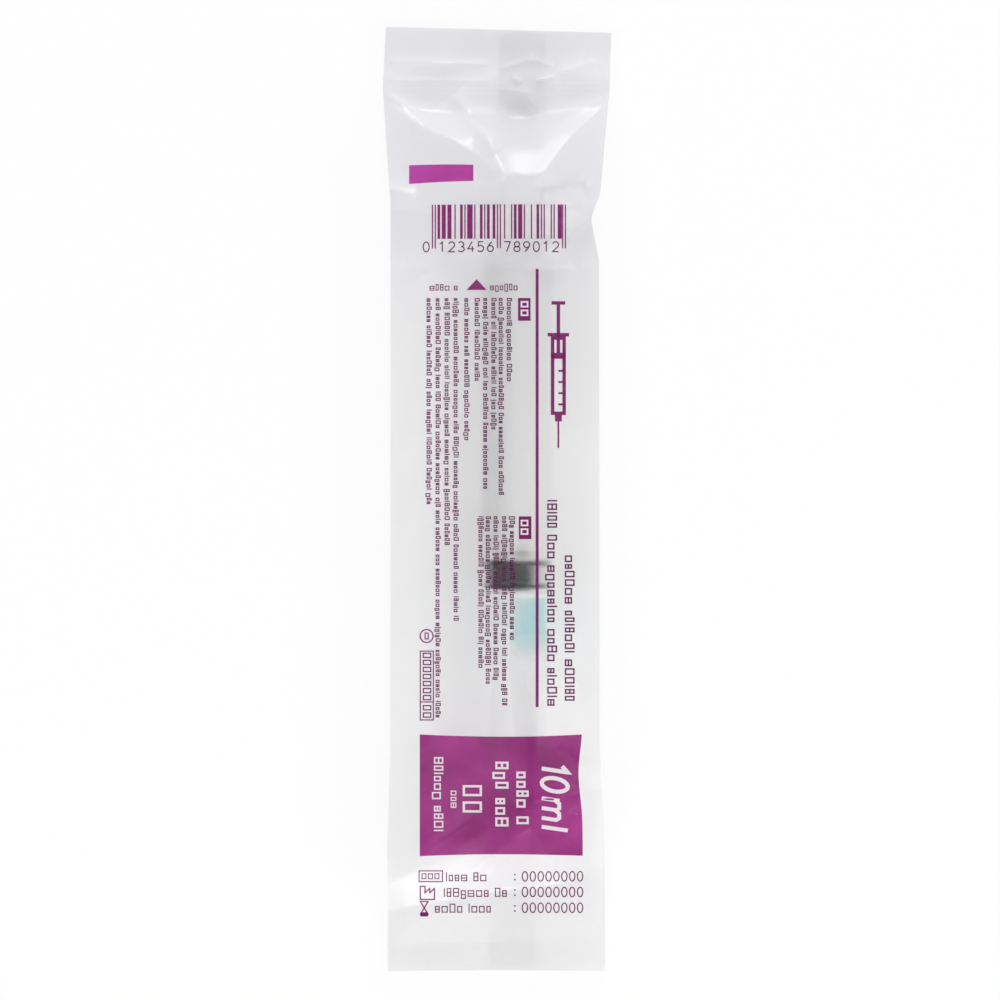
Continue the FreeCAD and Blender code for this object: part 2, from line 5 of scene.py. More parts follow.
import bpy
import numpy as np
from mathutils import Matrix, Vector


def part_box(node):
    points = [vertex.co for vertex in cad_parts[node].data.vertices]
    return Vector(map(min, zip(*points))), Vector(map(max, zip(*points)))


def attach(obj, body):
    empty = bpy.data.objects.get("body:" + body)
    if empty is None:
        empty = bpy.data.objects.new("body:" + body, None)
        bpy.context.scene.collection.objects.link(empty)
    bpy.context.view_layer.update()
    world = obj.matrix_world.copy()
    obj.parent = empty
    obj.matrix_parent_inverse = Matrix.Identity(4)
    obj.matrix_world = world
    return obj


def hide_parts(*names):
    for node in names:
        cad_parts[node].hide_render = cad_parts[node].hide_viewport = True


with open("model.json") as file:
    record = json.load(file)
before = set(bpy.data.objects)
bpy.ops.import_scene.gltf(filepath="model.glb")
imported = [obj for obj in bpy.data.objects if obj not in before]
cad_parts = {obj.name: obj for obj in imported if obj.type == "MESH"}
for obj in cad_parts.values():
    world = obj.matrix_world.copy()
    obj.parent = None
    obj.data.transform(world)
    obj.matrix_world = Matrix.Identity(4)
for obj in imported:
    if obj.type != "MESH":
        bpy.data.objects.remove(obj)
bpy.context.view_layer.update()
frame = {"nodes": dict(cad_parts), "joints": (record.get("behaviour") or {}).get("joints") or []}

# Film pouch. One web of milky polyethylene film, 0.1 mm thick, is wrapped round the syringe,
# joined along its back and heat sealed across both ends. It is pulled straight from its two side
# folds over whatever lies inside, and is creased where it turns down to the seals.
MM = 0.001
scene = bpy.context.scene


def spot(node):
    """Lowest and highest corner of a node in millimetres."""
    return [np.array(corner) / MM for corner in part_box(node)]


pouch_low, pouch_high = spot("film_pouch")
barrel_low, barrel_high = spot("barrel")
rod_low, rod_high = spot("plunger_rod")
stopper_low, stopper_high = spot("stopper")
hub_low, hub_high = spot("needle_hub")
cap_low, cap_high = spot("needle_cap")

axis_x = (stopper_low[0] + stopper_high[0]) / 2
axis_z = (stopper_low[2] + stopper_high[2]) / 2
needle_x = (cap_low[0] + cap_high[0]) / 2
needle_z = (cap_low[2] + cap_high[2]) / 2
stopper_radius = (stopper_high[2] - stopper_low[2]) / 2
barrel_radius = stopper_radius + 0.9
disc_radius = (rod_high[2] - rod_low[2]) / 2
flange_rise = (barrel_high[2] - barrel_low[2]) / 2
flange_reach = (barrel_high[0] - barrel_low[0]) / 2
cap_radius = (cap_high[2] - cap_low[2]) / 2
hub_radius = (hub_high[2] - hub_low[2]) / 2
cap_tip_radius = 2.5
travel = frame["joints"][0]["range_m"][1] / MM

foot_y, head_y = pouch_low[1], pouch_high[1]
foot_seal_y = foot_y + 6.9
head_seal_y = head_y - 8.95
head_seal_low_y = head_seal_y - 6.6
tip_y = cap_low[1] - 0.4
puff_y = tip_y - 14.55
flute_y = cap_high[1] - 11.0
mouth_y = cap_high[1]
shoulder_y = stopper_low[1] - 0.3
flange_low_y, flange_high_y = barrel_high[1] - 2.1, barrel_high[1]
touch_y = flange_low_y - 5.6
thumb_low_y, thumb_high_y = rod_high[1] - 1.9, rod_high[1]
notch_y = flange_high_y + 4.0
apex_y = thumb_high_y + travel + 0.3


def along(y, places, values, soft=0.0):
    """Straight from place to place along the pouch, each corner averaged over soft millimetres."""
    taps = np.linspace(-soft, soft, 7 if soft else 1)
    return sum(np.interp(y + tap, places, values) for tap in taps) / len(taps)


def sides(y):
    """Left and right edge of the pouch: straight lines between the places where its outline turns."""
    left = along(y, [foot_y, puff_y + 11, puff_y + 32, apex_y - 5, apex_y - 3, 96.2, head_y],
                 [-25.5, -25.6, -24.9, -24.85, -25.1, -26.7, -25.95], 0.8)
    right = along(y, [foot_y, puff_y + 11, puff_y + 32, touch_y + 2, notch_y, apex_y - 4, 96.2, head_y],
                  [25.3, 25.2, 24.0, 23.8, 21.9, 24.1, 26.35, 26.7], 0.5)
    return left, right


def folds(y):
    """Height of the left and right side fold: mid height over the syringe, down to flat at the seals."""
    left = along(y, [foot_seal_y, puff_y, tip_y - 3, tip_y + 8, apex_y - 4, apex_y, head_seal_low_y,
                     head_seal_y, head_y],
                 [1.25, 2.2, 7.2, 9.9, 10.0, 8.6, 3.05, 3.0, 3.4], 1.0)
    right = along(y, [foot_seal_y, puff_y, tip_y, tip_y + 12, notch_y - 6, notch_y, apex_y, head_seal_low_y,
                      head_seal_y, head_y],
                  [1.25, 2.2, 7.0, 9.9, 10.0, 10.4, 8.6, 3.05, 3.0, 3.4], 1.0)
    return left, right


def nose(y):
    """What the front is drawn over: the left and right centre of a rounded bar, its radius and its top,
    each straight from place to place along the pouch."""
    table = np.array([
        (foot_seal_y, -24.6, 24.6, 0.05, 1.35),
        (puff_y, -14.0, 18.7, 1.0, 3.4),
        (tip_y, needle_x, needle_x, 2.75, 16.05),
        (tip_y + 6, needle_x, needle_x, 3.6, 17.6),
        (flute_y, needle_x, needle_x, 5.1, 18.4),
        (mouth_y, needle_x, needle_x, 5.15, 18.45),
        (shoulder_y, axis_x, axis_x, 9.05, 19.05),
        (touch_y, axis_x, axis_x, 9.05, 19.05),
        (flange_low_y - 0.4, axis_x - 8.0, axis_x + 8.0, 1.25, 19.4),
        (flange_high_y + 0.4, axis_x - 8.0, axis_x + 8.0, 1.25, 19.4),
        (notch_y, axis_x - 5.5, axis_x + 5.5, 2.5, 19.75),
        (thumb_low_y - 0.3, axis_x - 0.4, axis_x + 0.4, 9.6, 19.6),
        (apex_y - 2.8, axis_x - 0.4, axis_x + 0.4, 9.6, 19.65),
        (apex_y, 1.2, 10.0, 0.9, 19.75),
        (80.0, -4.5, 13.6, 0.8, 15.7),
        (84.5, -11.5, 17.0, 0.7, 11.7),
        (88.0, -18.0, 20.0, 0.6, 8.3),
        (92.4, -24.6, 24.6, 0.3, 4.0),
        (head_seal_low_y, -25.8, 25.6, 0.05, 3.15),
        (head_seal_y, -25.8, 25.6, 0.05, 3.15),
        (head_y, -25.2, 25.8, 0.05, 3.5),
    ]).T
    return [along(y, table[0], values, soft) for values, soft in zip(table[1:], (0.5, 0.5, 0.4, 0.6))]


def drawn_over(x, edges, edge_heights, bar):
    """Height of film pulled taut over a rounded bar: the tangent line from the left fold, the bar's arc,
    its flat top, its other arc, and the tangent line to the right fold."""
    left_edge, right_edge = edges
    left_low, right_low = edge_heights
    left, right, radius, top = bar
    centre = top - radius

    def rise(run, climb):
        """Angle of the tangent line: that of the run to the bar's centre, and a little more."""
        reach = np.hypot(run, climb)
        return np.arctan2(climb, run) + np.arcsin(np.clip(radius / reach, 0, 0.99))

    left_angle = rise(left - left_edge, centre - left_low)
    right_angle = rise(right_edge - right, centre - right_low)
    past = np.maximum(np.maximum(left - x, x - right), 0)
    over = centre + np.sqrt(np.maximum(radius ** 2 - past ** 2, 0))
    left_line = left_low + (x - left_edge) * np.tan(left_angle)
    right_line = right_low + (right_edge - x) * np.tan(right_angle)
    height = np.where(x < left - radius * np.sin(left_angle), left_line, over)
    return np.where(x > right + radius * np.sin(right_angle), right_line, height)


def crease(x, y, start, end, height, width):
    """A pinched line: height times a peak with a small round top, which falls off exponentially over
    width on both sides and dies out towards the line's two ends."""
    run = np.subtract(end, start)
    length = np.hypot(*run)
    share = ((x - start[0]) * run[0] + (y - start[1]) * run[1]) / length ** 2
    aside = ((x - start[0]) * run[1] - (y - start[1]) * run[0]) / length
    fade = np.sqrt(np.clip(4 * share * (1 - share), 0, 1))
    top = 0.24 * width
    rounded = np.sqrt(aside ** 2 + top ** 2) - top
    return height * fade * np.exp(-rounded / width)


def bell(offset, width, power=2):
    """A bell of height one: the exponential of minus a power of the offset over the width."""
    return np.exp(-(offset / width) ** power)


def hollow(x, y, centre, radii, depth):
    """A scooped dent: depth times a bell over an ellipse."""
    far = ((x - centre[0]) / radii[0]) ** 2 + ((y - centre[1]) / radii[1]) ** 2
    return -depth * np.exp(-far ** 1.5)


head_creases = [
    ((-26.5, 102.2), (-2.0, 101.6), 0.8, 0.8),
    ((-26.0, 97.9), (-1.0, 97.7), 0.3, 0.6),
    ((14.5, 99.6), (23.0, 102.2), 0.6, 1.3),
    ((20.8, 102.6), (27.2, 100.6), 0.5, 1.3),
    ((0.4, 100.5), (9.0, 102.9), 0.55, 0.8),
    ((7.4, 103.4), (13.6, 100.6), 0.45, 0.8),
    ((9.0, 97.9), (13.4, 98.6), 0.6, 0.5),
    ((3.4, 98.8), (5.6, 97.2), 0.5, 0.5),
    ((0.6, 95.9), (8.6, 94.8), 0.4, 0.7),
    ((6.2, 95.6), (9.2, 90.4), 0.6, 0.8),
    ((-10.2, 94.6), (0.8, 81.6), 2.1, 2.7),
    ((-3.4, 86.8), (2.2, 74.6), 1.2, 2.0),
    ((-19.5, 86.4), (-6.0, 82.6), 0.7, 2.6),
    ((-26.6, 95.6), (-17.0, 87.6), 1.1, 1.6),
    ((-26.4, 72.8), (-18.8, 71.0), 1.1, 1.3),
    ((13.0, 87.0), (24.6, 93.6), 0.5, 1.4),
    ((22.6, 66.0), (10.4, 70.0), 1.6, 1.9),
    ((21.9, 65.8), (15.4, 73.4), 0.8, 1.0),
    ((22.2, 66.0), (20.4, 74.0), -0.8, 1.0),
    ((21.9, 65.2), (12.6, 58.0), 0.6, 0.9),
    ((-1.0, 54.7), (13.4, 54.9), 0.28, 0.8),
    ((-3.8, 60.4), (-22.0, 49.0), 0.35, 2.0),
    ((13.2, 60.0), (22.4, 49.5), 0.3, 1.6),
]
foot_creases = [
    ((-19.0, -84.0), (-1.0, -70.6), 0.7, 1.6),
    ((4.0, -71.4), (24.8, -67.6), 0.5, 1.3),
    ((14.6, -57.5), (21.5, -63.8), 0.35, 1.2),
    ((17.0, -64.5), (22.0, -71.5), 0.3, 1.0),
    ((7.4, -76.4), (-10.0, -99.0), 0.45, 2.2),
    ((8.4, -76.4), (19.4, -97.0), 0.4, 2.0),
    ((13.4, -77.8), (17.6, -80.6), 0.4, 0.5),
    ((16.8, -73.2), (19.6, -73.5), 0.35, 0.4),
    ((-25.4, -98.0), (4.0, -93.5), 0.2, 2.0),
]
dents = [
    ((5.2, 88.6), (4.3, 4.6), 0.8),
    ((19.0, 66.6), (5.5, 3.4), -1.5),
    ((16.0, 73.6), (8.0, 2.2), 0.7),
    ((-22.0, 70.0), (4.6, 1.9), -0.7),
    ((-14.0, 99.0), (9.0, 2.0), 0.12),
    ((19.0, 80.0), (4.5, 6.0), 0.35),
    ((-18.5, 79.0), (5.0, 7.0), 0.3),
    ((-2.0, -83.0), (7.0, 5.0), 0.4),
]


def ripples(x, y, seed, count, shortest, longest):
    """Slack in the film: a sum of seeded waves, long ones higher than short ones, mostly slanting."""
    draw = np.random.default_rng(seed)
    lengths = np.geomspace(longest, shortest, count)
    turns = draw.uniform(-1.1, 1.1, count)
    phases = draw.uniform(0, 2 * math.pi, count)
    total = 0
    for length, turned, phase in zip(lengths, turns, phases):
        along_wave = x * math.cos(turned) + y * math.sin(turned)
        bend = np.sin(2 * math.pi * y / (3.1 * length) + phase)
        total = total + length / longest * np.sin(2 * math.pi * along_wave / length + phase + bend)
    return total / math.sqrt(count)


def content_heights(x, y, up):
    """Top (up 1) or bottom (up -1) of what lies inside: a circle for each turned piece along the pouch,
    and minus infinity beside it."""
    room = 0.05
    shapes = [
        (needle_x, needle_z, [cap_low[1], flute_y, flute_y + 1, mouth_y, mouth_y + 0.01, hub_high[1]],
         [cap_tip_radius, cap_radius - 0.35, cap_radius, cap_radius, hub_radius, hub_radius]),
        (axis_x, axis_z, [shoulder_y, flange_low_y], [barrel_radius, barrel_radius]),
        (axis_x, axis_z, [flange_low_y, flange_high_y], [flange_reach, flange_reach]),
        (axis_x, axis_z, [flange_high_y, thumb_low_y], [stopper_radius - 0.6, stopper_radius - 0.6]),
        (axis_x, axis_z, [thumb_low_y, thumb_high_y + travel], [disc_radius, disc_radius]),
    ]
    best = np.full(np.broadcast(x, y).shape, -99.0)
    for middle, height, places, radii in shapes:
        radius = np.interp(y, places, radii)
        inside = (y > places[0] - room) & (y < places[-1] + room) & (np.abs(x - middle) < radius)
        rise = np.sqrt(np.maximum(radius ** 2 - (x - middle) ** 2, 0))
        rise = np.minimum(rise, flange_rise) if radii[0] == flange_reach else rise
        best = np.where(inside, np.maximum(best, up * height + rise), best)
    return best


def slanted(x, y):
    """The place along the pouch whose section is used at a point: the foot's turn-down bends towards the
    left fold and runs a little higher towards the right one, and the flat zone under the head seal bows
    downwards, with a round pocket near the middle."""
    near_tip = bell(y - tip_y + 4, 15)
    aside = x - needle_x
    near_pocket = bell(y - head_seal_low_y + 7, 5, 4) * bell(x - 5.4, 4.8, 4)
    near_seal = bell(y - head_seal_low_y + 3, 4.5)
    return (y + near_tip * (0.0135 * np.minimum(aside, 0) ** 2 - 0.32 * np.maximum(aside, 0))
            + 2.8 * near_seal * (1 - (x / 26.5) ** 2) + 1.7 * near_pocket)


def front_height(x, y):
    """Height of the front layer: taut over the contents, then creases, dents and slack, never lower
    than what it lies on."""
    where = slanted(x, y)
    height = drawn_over(x, sides(y), folds(where), nose(where))
    left, right = sides(y)
    inner = np.clip(np.minimum(x - left, right - x) / 4, 0, 1)
    loose = along(y, [foot_seal_y, puff_y, tip_y, touch_y, apex_y, head_seal_low_y, head_seal_y],
                  [0.10, 0.60, 0.50, 0.42, 0.45, 0.18, 0.20], 2.0)
    height = height + inner * loose * ripples(x, y, 4, 9, 7.0, 46.0)
    for start, end, rise, width in head_creases + foot_creases:
        height = height + crease(x, y, start, end, rise, width)
    for centre, radii, depth in dents:
        height = height + hollow(x, y, centre, radii, depth)
    height = height + seal_ribs(y)
    return np.maximum(height, content_heights(x, y, 1) + 0.12)


def seal_ribs(y):
    """Fine ribs that the sealing jaws leave across both ends: a sine along the pouch within each seal."""
    pitch = 1.15
    head = np.clip(np.minimum(y - head_seal_low_y, head_seal_y - y) / 0.5, 0, 1)
    foot = np.clip(np.minimum(y - foot_y - 1.2, foot_seal_y - y) / 0.5, 0, 1)
    return (0.014 * head + 0.012 * foot) * np.sin(2 * math.pi * y / pitch)


def back_height(x, y):
    """Height of the back layer: folds down to the table, flat under the syringe, and at the seals just
    below the front layer."""
    floor = 0.32
    left, right = sides(y)
    left_fold, right_fold = folds(y)
    places = [foot_seal_y, puff_y, tip_y, flange_low_y - 12, flange_low_y - 0.5, flange_high_y + 0.5,
              notch_y + 6, head_seal_low_y - 12, head_seal_low_y]
    flat_left = along(y, places, [-24.6, -14.0, axis_x - 6.5, axis_x - 6.5, axis_x - 9.6, axis_x - 9.6,
                                  axis_x - 6.5, axis_x - 6.5, -25.8], 0.8)
    flat_right = along(y, places, [24.6, 18.7, axis_x + 6.5, axis_x + 6.5, axis_x + 10.6, axis_x + 10.6,
                                   axis_x + 7.5, axis_x + 6.5, 25.6], 0.8)
    bottom = along(y, [foot_seal_y, puff_y, thumb_high_y, apex_y, head_seal_low_y, head_seal_y, head_y],
                   [1.15, floor, floor, floor, 2.9, 2.9, 3.25], 0.8)
    left_share = np.clip((x - left) / (flat_left - left), 0, 1)
    right_share = np.clip((right - x) / (right - flat_right), 0, 1)
    height = np.maximum(left_fold + (bottom - left_fold) * left_share,
                        right_fold + (bottom - right_fold) * right_share)
    inner = np.clip(np.minimum(x - left, right - x) / 4, 0, 1)
    slack = 0.3 * inner * np.clip(height - floor, 0, 1) * ripples(x, y, 11, 8, 8.0, 40.0)
    height = np.maximum(height + slack + seal_ribs(y), floor)
    inside = -content_heights(x, y, -1) - 0.06
    return np.minimum(height, np.where(inside > 90, height, inside))


def rows_along():
    """Places of the grid's rows: close together at the seals, the head's creases, the foot's and the
    stopper."""
    stops = [foot_y, foot_seal_y + 0.4, tip_y + 20, mouth_y, stopper_high[1] + 2, touch_y - 4, notch_y,
             head_seal_low_y, head_seal_y + 0.4, head_y]
    steps = [0.34, 0.7, 1.0, 0.5, 1.5, 0.4, 0.42, 0.24, 0.5]
    runs = [np.linspace(low, high, int((high - low) / step) + 1)[:-1]
            for low, high, step in zip(stops, stops[1:], steps)]
    return np.append(np.concatenate(runs), head_y)


def end_skew(x, y):
    """Both cut ends run a little aslant: the head's falls to the right and the foot's bows inwards."""
    to_head = np.clip((y - head_seal_y) / (head_y - head_seal_y), 0, 1)
    to_foot = np.clip((foot_seal_y - y) / (foot_seal_y - foot_y), 0, 1)
    return -0.027 * (x + 26) * to_head + (0.25 - 0.0004 * x ** 2) * to_foot


def shares_across():
    """Shares of the pouch's width at which the grid's columns lie: mostly even, a little closer at the
    two side folds."""
    even = np.linspace(0, 1, 141)
    return 0.8 * even + 0.2 * (0.5 - 0.5 * np.cos(math.pi * even))


def film_pair(gap=0.1):
    """Front and back layer on one grid of rows along and columns across, folds shared."""
    y = rows_along()[:, None]
    left, right = sides(y)
    x = left + (right - left) * shares_across()
    front = front_height(x, y)
    back = np.minimum(back_height(x, y), front - gap)
    back[:, 0] = front[:, 0]
    back[:, -1] = front[:, -1]
    along_film = y + end_skew(x, y)
    return x, along_film, front, back


def mesh_from(name, points, faces, smooth=True):
    """A mesh object from points in millimetres and faces, each an array or list of point numbers."""
    mesh = bpy.data.meshes.new(name)
    mesh.from_pydata((np.asarray(points) * MM).tolist(), [], [list(face) for face in faces])
    mesh.polygons.foreach_set("use_smooth", np.full(len(mesh.polygons), smooth))
    mesh.update()
    made = bpy.data.objects.new(name, mesh)
    scene.collection.objects.link(made)
    return made


def grid_faces(rows, columns, first=0):
    """Quads of a grid whose points run along each row in turn, facing up when x and y both grow."""
    corner = first + np.arange(rows - 1)[:, None] * columns + np.arange(columns - 1)[None, :]
    return np.stack([corner, corner + 1, corner + columns + 1, corner + columns], -1).reshape(-1, 4)


def clinging(x, y):
    """How closely the front layer clings to what it touches, in bells: fully over the stopper, further
    out over its two ribs, half over the needle's hub, a little over the cap and less elsewhere."""
    middle_y, ribs_y, collar_y = -17.9, (-15.0, -20.3), -12.6
    over_stopper = bell(x - axis_x + 1.0, 5.7, 4) * bell(y - middle_y, 3.7, 8)
    over_ribs = bell(x - axis_x, 8.4, 4) * sum(bell(y - rib_y, 0.8) for rib_y in ribs_y)
    over_collar = bell(x - axis_x - 1.2, 2.2) * bell(y - collar_y, 2.0)
    over_hub = bell(x - needle_x, 5.5) * bell(y - hub_high[1] + 5.5, 8.0, 4)
    over_hub = over_hub * (1 - 0.3 * np.clip(mouth_y + 0.6 - y, 0, 1))
    over_cap = bell(x - needle_x + 3, 5.5, 4) * along(y, [-72, -60, -44, -38], [0, 1, 1, 0], 3.0)
    return 0.1 + np.maximum.reduce([
        0.92 * over_stopper, 0.85 * over_ribs, 0.35 * over_collar, 0.42 * over_hub, 0.14 * over_cap])


film_sheet = film_pair()


def film_skin():
    """The pouch as one closed shell: front grid, back grid turned over on the same side folds, and a
    strip of faces across each cut end."""
    x, y, front, back = film_sheet
    rows, columns = x.shape
    upper = np.stack([x, y, front], -1).reshape(-1, 3)
    lower = np.stack([x, y, back], -1)[:, 1:-1].reshape(-1, 3)
    top = np.arange(rows * columns).reshape(rows, columns)
    under = rows * columns + np.arange(rows * (columns - 2)).reshape(rows, columns - 2)
    under = np.concatenate([top[:, :1], under, top[:, -1:]], 1)
    strips = [
        (top[:-1, :-1], top[:-1, 1:], top[1:, 1:], top[1:, :-1]),
        (under[:-1, :-1], under[1:, :-1], under[1:, 1:], under[:-1, 1:]),
        (top[0, 1:-2], under[0, 1:-2], under[0, 2:-1], top[0, 2:-1]),
        (top[-1, 1:-2], top[-1, 2:-1], under[-1, 2:-1], under[-1, 1:-2]),
    ]
    quads = np.concatenate([np.stack(strip, -1).reshape(-1, 4) for strip in strips])
    corners = np.array([
        (top[0, 0], under[0, 1], top[0, 1]),
        (top[0, -2], under[0, -2], top[0, -1]),
        (top[-1, 0], top[-1, 1], under[-1, 1]),
        (top[-1, -2], top[-1, -1], under[-1, -2]),
    ])
    made = mesh_from("film_skin", np.concatenate([upper, lower]), quads.tolist() + corners.tolist())
    made.data.set_sharp_from_angle(angle=math.radians(50))
    # This value greys and tints the film. It is real where the film lies double: at the seals' edges and in
    # the head flap. It is also painted shade: it rises from y 15 mm to 80 mm and stays high over the head's
    # tent, so the film is painted darker towards the head and on the tent's outer triangles.
    doubled_film_and_painted_shade = along(y, [foot_seal_y - 1, foot_seal_y + 2, 15.0, 50.0, 80.0, head_seal_low_y - 2,
                      head_seal_low_y + 1.5, head_seal_y - 1.5, head_seal_y + 0.6, head_seal_y + 4],
                  [0.12, 0.0, 0.0, 0.35, 0.95, 0.95, 0.95, 0.25, 0.6, 0.95], 0.5) + 0 * x
    gap_front = front - np.maximum(content_heights(x, y, 1), 0.0)
    inside_low = -content_heights(x, y, -1)
    gap_back = np.abs(np.where(inside_low > 50, 0.0, inside_low) - back)
    core = bell(x - axis_x + 11.2, 8.5, 4) * along(y, [-84, -74, 42, 60], [0, 1, 1, 0], 4.0)
    near_front = bell(gap_front, 3.2) * clinging(x, y) + 0.36 * core
    near_back = np.exp(-gap_back / 1.3) * 0.2
    for name, on_front, on_back in (("doubled_film_and_painted_shade", doubled_film_and_painted_shade, doubled_film_and_painted_shade), ("nearness", near_front, near_back)):
        values = np.concatenate([on_front.ravel(), on_back[:, 1:-1].ravel()]).astype(np.float32)
        made.data.attributes.new(name, "FLOAT", "POINT").data.foreach_set("value", values)
    made.data.update()
    return made


class Wire:
    """An output socket of a material's nodes. Sums and products of wires add Math nodes."""

    def __init__(self, tree, socket=None):
        self.tree = tree
        self.socket = socket

    def node(self, kind, settings=None, values=None, out=0):
        """Adds one node: its settings are set first, then each socket gets its value or its link."""
        made = self.tree.nodes.new(kind)
        for name, setting in (settings or {}).items():
            setattr(made, name, setting)
        for name, value in (values or {}).items():
            if isinstance(value, Wire):
                self.tree.links.new(value.socket, made.inputs[name])
            else:
                made.inputs[name].default_value = value
        return Wire(self.tree, made.outputs[out] if made.outputs else None)

    def maths(self, operation, first, second=0.0):
        """Adds a Math node on two numbers or wires."""
        return self.node("ShaderNodeMath", {"operation": operation}, {0: first, 1: second})

    def __add__(self, other):
        return self.maths("ADD", self, other)

    def __sub__(self, other):
        return self.maths("SUBTRACT", self, other)

    def __mul__(self, other):
        return self.maths("MULTIPLY", self, other)

    def __pow__(self, other):
        return self.maths("POWER", self, other)

    def __rsub__(self, other):
        return self.maths("SUBTRACT", other, self)

    __radd__ = __add__
    __rmul__ = __mul__

    def held(self, low=0.0, high=1.0):
        """The value kept between two limits."""
        return self.node("ShaderNodeClamp", None, {"Value": self, "Min": low, "Max": high})


def material(name):
    """A material with an empty node tree, and a wire to start its nodes from."""
    made = bpy.data.materials.new(name)
    made.use_nodes = True
    made.node_tree.nodes.clear()
    return made, Wire(made.node_tree)


def finish(start, surface):
    """Joins the finished shader to the material's output."""
    start.node("ShaderNodeOutputMaterial", None, {"Surface": surface})


def noise(start, scale, detail=3.0, stretch=(1, 1, 1)):
    """Noise of so many grains a metre on the object's own coordinates, stretched along its axes."""
    place = start.node("ShaderNodeTexCoord", out=3)
    turned = start.node("ShaderNodeMapping", None, {"Vector": place, "Scale": stretch})
    return start.node("ShaderNodeTexNoise", None, {"Vector": turned, "Scale": scale, "Detail": detail})


def blended(start, share, first, second):
    """A mix of two colours by a share from 0 to 1."""
    return start.node("ShaderNodeMix", {"data_type": "RGBA"}, {0: share, 6: first, 7: second}, out=2)


def mixed(start, share, first, second):
    """A mix of two shaders by a share from 0 to 1."""
    return start.node("ShaderNodeMixShader", None, {0: share, 1: first, 2: second})


def edge_on(start):
    """How far a face is turned from the view: 0 square to it, 1 edge on."""
    return start.node("ShaderNodeLayerWeight", None, {"Blend": 0.5}, out=1)


def bumped(start, strength, distance, height):
    """Fine relief: a normal tilted by a height, which counts over a distance in metres."""
    return start.node("ShaderNodeBump", None, {
        "Strength": strength, "Distance": distance, "Height": height})


def passing(start, kind, colour):
    """Light let through, straight (Transparent) or scattered (Translucent)."""
    return start.node("ShaderNodeBsdf" + kind, None, {"Color": colour})


def coated(start, colour, roughness, **others):
    """A Principled face of a colour and a roughness; others are its further sockets by name."""
    return start.node("ShaderNodeBsdfPrincipled", None, {
        "Base Color": colour, "Roughness": roughness, **others})


def film_material(name, clearness):
    """Milky film: part of the light goes straight through, more where it touches what lies behind;
    the rest is scattered through it or off its satin face, whose gloss fades at a grazing view."""
    made, start = material(name)
    near = start.node("ShaderNodeAttribute", {"attribute_name": "nearness"}, out=2)
    facing = edge_on(start)
    cloud = noise(start, 90.0, 4.0, (1.0, 0.35, 1.0))
    doubled_film_and_painted_shade = start.node("ShaderNodeAttribute", {"attribute_name": "doubled_film_and_painted_shade"}, out=2)
    clear = (clearness + 0.96 * near + 0.04 * (cloud - 0.5)).held(0.02, 0.97)
    grain = noise(start, 900.0, 3.0)
    bump = bumped(start, 0.12, 0.0002, grain)
    loose = blended(start, cloud, (0.90, 0.90, 0.902, 1), (0.95, 0.95, 0.95, 1))
    # The face turns greyer and lilac with this attribute. That is real for film lying double at the seals
    # and the flap, and painted shade over the body towards the head and over the head's tent.
    colour = blended(start, doubled_film_and_painted_shade, loose, (0.80, 0.795, 0.835, 1))
    face = coated(start, colour, 0.26 + 0.1 * cloud, Normal=bump)
    through = passing(start, "Translucent", (0.96, 0.96, 0.965, 1))
    straight = passing(start, "Transparent", (0.985, 0.985, 0.987, 1))
    scattered = (0.34 + 0.1 * doubled_film_and_painted_shade + 0.66 * facing ** 4).held()
    milky = mixed(start, scattered, face, through)
    finish(start, mixed(start, clear, milky, straight))
    return made


skin = film_skin()
skin.data.materials.append(film_material("milky_film", 0.04))
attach(skin, "pack")
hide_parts("film_pouch")

# Back seam. The web's two long edges are sealed face to face and laid over flat under the pouch, as
# a ribbed strip 11 mm wide that lies between the back layer and the table.


def back_seam():
    """A thin closed strip under the back layer: its section is a flat box whose top follows the back
    layer, with ribs across it, and it wanders a little from the middle towards the head."""
    half, thick, lift = 5.5, 0.16, 0.05
    columns = 12
    y = np.linspace(foot_y + 0.3, head_y - 0.5, 480)[:, None]
    share = np.linspace(-1, 1, columns + 1)
    x = axis_x + 0.012 * y + half * share
    ribs = 0.015 * np.sin(2 * math.pi * y / 0.9)
    top = np.minimum(back_height(x, y), front_height(x, y) - 0.1) - lift
    under = top - thick + ribs
    upper = np.stack([x, y + end_skew(x, y), top], -1)
    lower = np.stack([x, y + end_skew(x, y), under], -1)
    loops = np.concatenate([upper, lower[:, ::-1]], 1)
    rows, around = loops.shape[:2]
    base = np.arange(rows - 1)[:, None] * around
    one = base + np.arange(around)[None, :]
    two = base + (np.arange(around)[None, :] + 1) % around
    walls = np.stack([one, one + around, two + around, two], -1).reshape(-1, 4)
    step = np.arange(columns)
    foot_end = np.stack([step, step + 1, around - 2 - step, around - 1 - step], -1)
    head_end = foot_end[:, ::-1] + (rows - 1) * around
    faces = np.concatenate([walls, foot_end, head_end])
    strip = mesh_from("back_seam", loops.reshape(-1, 3), faces.tolist())
    strip.data.set_sharp_from_angle(angle=math.radians(40))
    return strip


seam = back_seam()
seam.data.materials.append(film_material("fused_film", 0.6))
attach(seam, "pack")

# Barrel. Clear moulded polypropylene tube with its finger flange, end wall and offset nozzle in one
# piece; the plunger slides in it.


def clear_plastic(name, tint, haze, edge, rough):
    """Thin clear moulding: light passes straight on, with a little haze that grows towards its edges."""
    made, start = material(name)
    facing = edge_on(start)
    flow = noise(start, 160.0, 2.0, (1.0, 0.15, 1.0))
    bump = bumped(start, 0.08, 0.0003, flow)
    body = coated(start, tint, rough, Normal=bump)
    straight = passing(start, "Transparent", (0.98, 0.985, 0.985, 1))
    share = (haze + edge * facing ** 3 + 0.03 * (flow - 0.5)).held()
    finish(start, mixed(start, share, straight, body))
    return made


def dress(node, finished):
    """Gives a node's slots its finish."""
    for place in frame["nodes"][node].material_slots:
        place.material = finished


